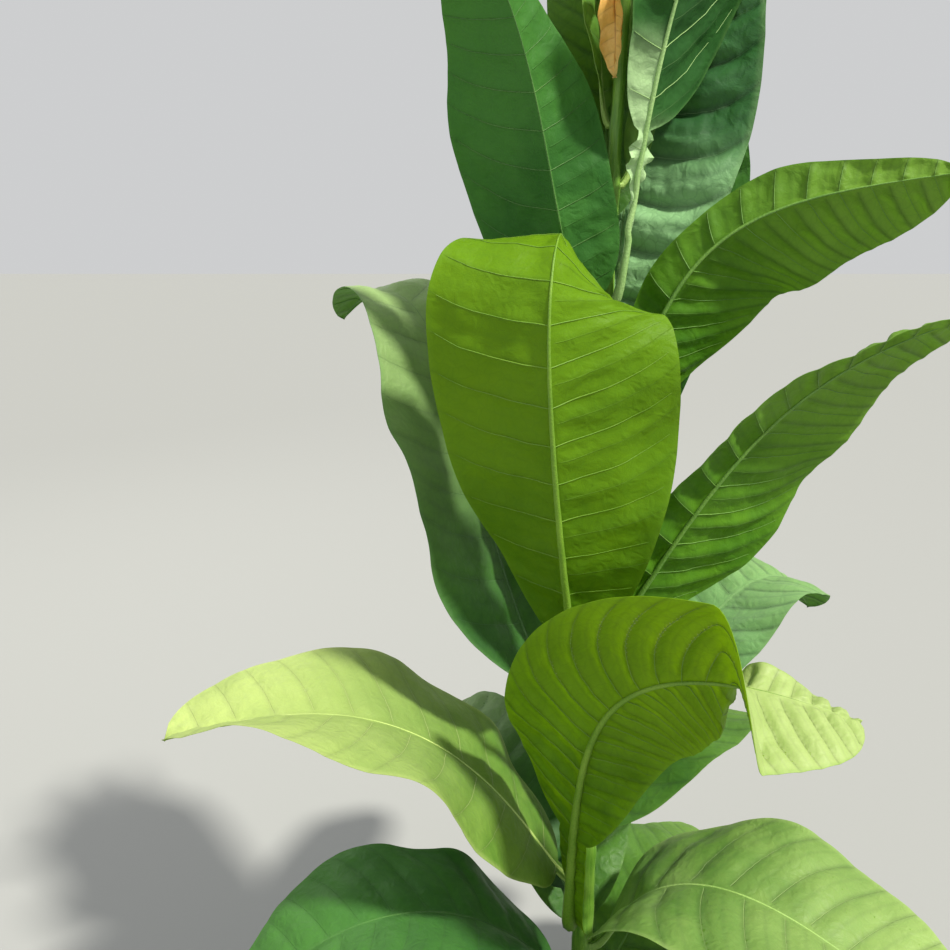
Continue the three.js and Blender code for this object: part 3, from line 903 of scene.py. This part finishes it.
def on_blade(blade, s, q):
    """The points and normals of a blade at shares s and q, read between the lines of its grid."""
    rows, columns = (size - 1 for size in blade.middle.shape[:2])
    row = np.clip(s, 0, 1) * rows
    column = (np.clip(q, -1, 1) + 1) * columns / 2
    r = np.minimum(row.astype(int), rows - 1)
    c = np.minimum(column.astype(int), columns - 1)
    v = (row - r)[:, None]
    u = (column - c)[:, None]

    def read(field):
        low = field[r, c] * (1 - u) + field[r, c + 1] * u
        high = field[r + 1, c] * (1 - u) + field[r + 1, c + 1] * u
        return low * (1 - v) + high * v

    return read(blade.middle), read(blade.normals)


def midrib_path(leaf, blade):
    """The midrib's line and thickness. It starts a little nearer to the stem than the blade does,
    and so inside it, but for leaf_10: its wide stalk holds its foot off the stem."""
    s = np.linspace(0, 0.985, 60)
    points, normals = on_blade(blade, s, 0 * s)
    size = leaf.midrib * leaf.length * MIDRIB_SHARE
    thick = size * (0.6 * (1 - s) ** 0.9 + 0.4 * np.exp(-s / 0.07)) + 0.3
    points = points - normals * (thick * 0.55)[:, None]
    inside = points[:1] - outward(leaf) * ROOT_DEPTH
    return np.vstack([inside, points]), np.concatenate([thick[:1], thick])


def side_rib_path(leaf, blade, count, hand):
    """One side vein, from the midrib towards the margin, where the vein count is count."""
    turns = (count - VEIN_STAGGER * (hand < 0)) / leaf.ribs * (1 + TIP_CROWDING)
    start = (np.sqrt(1 + 4 * TIP_CROWDING * turns) - 1) / (2 * TIP_CROWDING)
    q = np.linspace(0, RIB_REACH, leaf.rib_points)
    s = start + 0 * q
    for _ in range(SWEEP_ROUNDS):
        beside = q * reach_of(np.clip(s, 0, 1), leaf, hand)
        s = start + vein_lag(beside, leaf)
    inside = s < 0.97
    points, normals = on_blade(blade, s[inside], hand * q[inside])
    size = half_width(np.array([start]), leaf)[0] / (leaf.width / 2)
    thick = leaf.length * SIDE_RIB_SHARE * size * (1 - q[inside]) ** 0.8 + THINNEST_RIB
    return points - normals * (leaf.thick / 2 + 0.8 * thick)[:, None], thick


def ribs_piece(leaf, blade):
    """All the ribs of a leaf as one piece of tubes."""
    paths = [midrib_path(leaf, blade)]
    for hand in (-1, 1):
        for count in np.arange(1, leaf.ribs) + VEIN_STAGGER * (hand < 0):
            path = side_rib_path(leaf, blade, count, hand)
            if len(path[0]) > 3:
                paths.append(path)
    points = np.vstack([path for path, _ in paths])
    ends = np.cumsum([len(path) for path, _ in paths])
    edges = [(i, i + 1) for i in range(len(points) - 1) if i + 1 not in ends]
    mesh = bpy.data.meshes.new(leaf.name + "_ribs")
    mesh.from_pydata((points * MM).tolist(), edges, [])
    attribute = mesh.attributes.new("thick", "FLOAT", "POINT")
    thick = np.concatenate([thick for _, thick in paths])
    attribute.data.foreach_set("value", thick.astype(np.float32) * MM)
    made = bpy.data.objects.new(leaf.name + "_ribs", mesh)
    bpy.context.scene.collection.objects.link(made)
    grown(made, tube_tree, Sides=RIB_SIDES, Skin=RIB_SKINS[leaf.skin])
    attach(made, "root")
    return made


ribs = [ribs_piece(leaf, blades[leaf.name]) for leaf in leaves]
print("rib pieces:", len(ribs), "faces:", sum(len(piece.data.polygons) for piece in ribs))

# %% [markdown]
# ## The stem
#
# The real stem is round and juicy with shallow flutes, a swelling where each leaf sits, and sticky
# hairs. It is a stack of rings by the source's own centre and radius, with that relief added.

# %% Stem
STEM_SIDES = 60
STEM_RING_STEP = 4
FLUTES = 5
FLUTE_DEPTH = 0.03
FLUTE_TWIST_LENGTH = 230
SWELLING = 2.4
SWELLING_HEIGHT = 11
SWELLING_DROP = 5


def stem_relief(z, turn):
    """How far the stem's skin stands off its plain radius, in millimetres."""
    flutes = FLUTE_DEPTH * stem_radius(z) * np.cos(FLUTES * turn + z / FLUTE_TWIST_LENGTH)
    knots = 0
    for leaf in leaves:
        facing = (0.5 + 0.5 * np.cos(turn - math.radians(leaf.heading))) ** 2
        size = SWELLING * stem_radius(leaf.z) / STEM_FOOT_RADIUS
        from_knot = (z - leaf.z + SWELLING_DROP) / SWELLING_HEIGHT
        knots = knots + size * (0.25 + facing) * np.exp(-(from_knot**2))
    grain = 0.12 * ripples(turn * 14, z, 9, 3) + 0.2 * ripples(turn * 14, z, 38, 4)
    return (flutes + grain) * smooth((z - 2) / 20) + knots


def ring_faces(rings, sides):
    """The faces of a stack of rings: quads between them and a flat end on the first and the last."""
    ring, side = np.meshgrid(np.arange(rings - 1), np.arange(sides), indexing="ij")
    a = ring * sides + side
    b = ring * sides + (side + 1) % sides
    walls = np.stack([a, b, b + sides, a + sides], axis=-1).reshape(-1, 4).tolist()
    foot = list(range(sides))[::-1]
    tip = list(range((rings - 1) * sides, rings * sides))
    return [*walls, foot, tip]


def turned(centres, radii, sides, skins, name):
    """A round body around a line of centres. The radii may differ round each ring."""
    turns = np.linspace(0, 2 * np.pi, sides, endpoint=False)[None, :]
    radii = radii + 0 * turns
    ring = np.stack([radii * np.cos(turns), radii * np.sin(turns), 0 * radii], axis=-1)
    points = centres[:, None] + ring
    return mesh_of(name, points.reshape(-1, 3), ring_faces(len(centres), sides), skins)


heights = np.linspace(0, STEM_HEIGHT, STEM_HEIGHT // STEM_RING_STEP + 1)
turns = np.linspace(0, 2 * np.pi, STEM_SIDES, endpoint=False)
relief = stem_relief(heights[:, None] + 0 * turns, turns + 0 * heights[:, None])
bark_radius = stem_radius(heights)[:, None] + relief
stem = turned(stem_centre(heights), bark_radius, STEM_SIDES, [STEM_SKIN], "stem_bark")
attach(stem, "root")
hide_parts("stem")
print("stem faces:", len(stem.data.polygons))

# %% [markdown]
# ## Sticky hairs
#
# A tobacco stem feels sticky, because short hairs with a drop of gum stand all over it. Thousands
# of them by hand would be hopeless, and they needn't be regular: points scattered on the skin of
# the stem each get a small cone that stands along the skin's own normal.

# %% Hairs on the stem
hair_tree, given = new_tree(
    "sticky_hairs", ("NodeSocketFloat", "Density", 1.0), ("NodeSocketFloat", "Length", 0.001),
    ("NodeSocketFloat", "Thickness", 0.0001), ("NodeSocketInt", "Seed", 0),
    ("NodeSocketMaterial", "Skin", None))
facing = given.node("GeometryNodeInputNormal")
upward = given.node("ShaderNodeSeparateXYZ", {}, {0: facing})["Z"]
spots = given.node("GeometryNodeDistributePointsOnFaces", {}, {
    "Mesh": given["Geometry"], "Selection": upward.math("GREATER_THAN", upward, -0.7),
    "Density": given["Density"], "Seed": given["Seed"]})
hair = given.node("GeometryNodeMeshCone", {}, {
    "Vertices": 4, "Radius Top": given["Thickness"] * 0.4, "Radius Bottom": given["Thickness"],
    "Depth": given["Length"]})
height = given.node("FunctionNodeRandomValue", {"data_type": "FLOAT"}, {
    2: 0.5, 3: 1.3, "Seed": given["Seed"]})[1]
hairs = spots.node("GeometryNodeInstanceOnPoints", {}, {
    "Points": spots, "Instance": hair, "Rotation": spots["Rotation"], "Scale": height})
finish_tree(hairs, given["Skin"])

HAIR_DENSITY = 42000
HAIR_LENGTH = 1.5
HAIR_THICKNESS = 0.09
hair_piece = bpy.data.objects.new("stem_hairs", stem.data.copy())
bpy.context.scene.collection.objects.link(hair_piece)
grown(hair_piece, hair_tree, Density=float(HAIR_DENSITY), Length=HAIR_LENGTH * MM,
      Thickness=HAIR_THICKNESS * MM, Seed=11, Skin=HAIR_SKIN)
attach(hair_piece, "root")
print("hair faces:", len(hair_piece.data.polygons))

# %% [markdown]
# ## The bud
#
# The stem ends in a closed bud. Small pointed leaves wrap a round core, each a golden turn further
# round than the last, and the lowest lie outermost. The core is turned like the stem, and each
# small leaf is a grid bent round it, closed like the big leaves.

# %% Bud
BUD_LENGTH = 46
BUD_RADIUS = 7
BUD_TIP_RADIUS = 0.6
BUD_FOOT_SHARE = 0.7
BUD_SINK = 2
BUD_SIDES = 32
BUD_SCALES = 9
SCALE_ROWS = 22
SCALE_COLUMNS = 14
GOLDEN_TURN = math.radians(137.5)
SCALE_WRAP = math.radians(66)
SCALE_THICKNESS = 0.5
SCALE_VEINS = 5
SCALE_VEIN_SLANT = 1.1
CORE_RINGS = 24
CORE_SHARE = 0.95


def bud_radius(share):
    share = np.clip(share, 0, 1)
    return BUD_RADIUS * np.sqrt(1 - share**2) * (BUD_FOOT_SHARE + share) + BUD_TIP_RADIUS


def bud_scale(order):
    """One small leaf of the bud. The first is the lowest."""
    t = np.linspace(0, 1, SCALE_ROWS + 1)[:, None]
    q = np.linspace(-1, 1, SCALE_COLUMNS + 1)[None, :]
    late = order / BUD_SCALES
    share = 0.02 + 0.36 * late + (0.72 - 0.1 * late) * t - 0.03 * q**2
    wrap = SCALE_WRAP * (1 - t) ** 0.62 * (0.72 + 0.28 * smooth(t / 0.4)) + 0.015
    flare = (1.4 + 1.1 * (order % 3)) * smooth((t - 0.7) / 0.3) ** 2
    ridge = 0.7 * np.exp(-((q / 0.14) ** 2)) * (1 - 0.6 * t)
    vein_place = SCALE_VEINS * t - SCALE_VEIN_SLANT * np.abs(q)
    veins = 0.16 * np.sin(2 * np.pi * vein_place)
    radius = bud_radius(share) * (0.94 + 0 * q) + 1.3 - 0.9 * late + flare + ridge + veins
    turn = GOLDEN_TURN * order - wrap * q
    foot = stem_centre(STEM_HEIGHT)
    points = foot + np.stack([radius * np.cos(turn), radius * np.sin(turn), BUD_LENGTH * share], axis=-1)
    beside = radius * wrap * q
    count = vein_place + VEIN_STAGGER * (q < 0)
    chart = SimpleNamespace(
        s=t + 0 * q, q=q + 0 * t, x=beside, y=BUD_LENGTH * share, count=count, seed=order)
    return closed_leaf(f"bud_scale_{order}", points, SCALE_THICKNESS, SKINS["young"], chart)


def bud_core():
    share = np.linspace(0, 1, CORE_RINGS)
    centres = stem_centre(STEM_HEIGHT) + np.outer(BUD_LENGTH * share, [0, 0, 1])
    centres[0, 2] -= BUD_SINK
    radii = bud_radius(share)[:, None] * CORE_SHARE
    return turned(centres, radii, BUD_SIDES, SKINS["young"], "bud_core")


bud = joined("bud_leaves", [bud_core(), *[bud_scale(order) for order in range(BUD_SCALES)]])
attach(bud, "root")
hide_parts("bud")
print("bud faces:", len(bud.data.polygons))

# %% [markdown]
# ## The floor and the end
#
# The plant stands on a plain pale floor, which isn't part of it.

# %% Floor
FLOOR_HALF = 12
FLOOR_COLOUR = paint(154, 155, 153)
floor_mesh = bpy.data.meshes.new("floor")
corner_signs = [(-1, -1), (1, -1), (1, 1), (-1, 1)]
corners = [(x * FLOOR_HALF, y * FLOOR_HALF, 0) for x, y in corner_signs]
floor_mesh.from_pydata(corners, [], [(0, 1, 2, 3)])
floor_skin, start = new_material("floor_skin")
plain = start.node("ShaderNodeBsdfPrincipled", {}, {"Base Color": FLOOR_COLOUR, "Roughness": 0.8})
start.node("ShaderNodeOutputMaterial", {}, {"Surface": plain})
floor_mesh.materials.append(floor_skin)
floor = bpy.data.objects.new("floor", floor_mesh)
bpy.context.scene.collection.objects.link(floor)
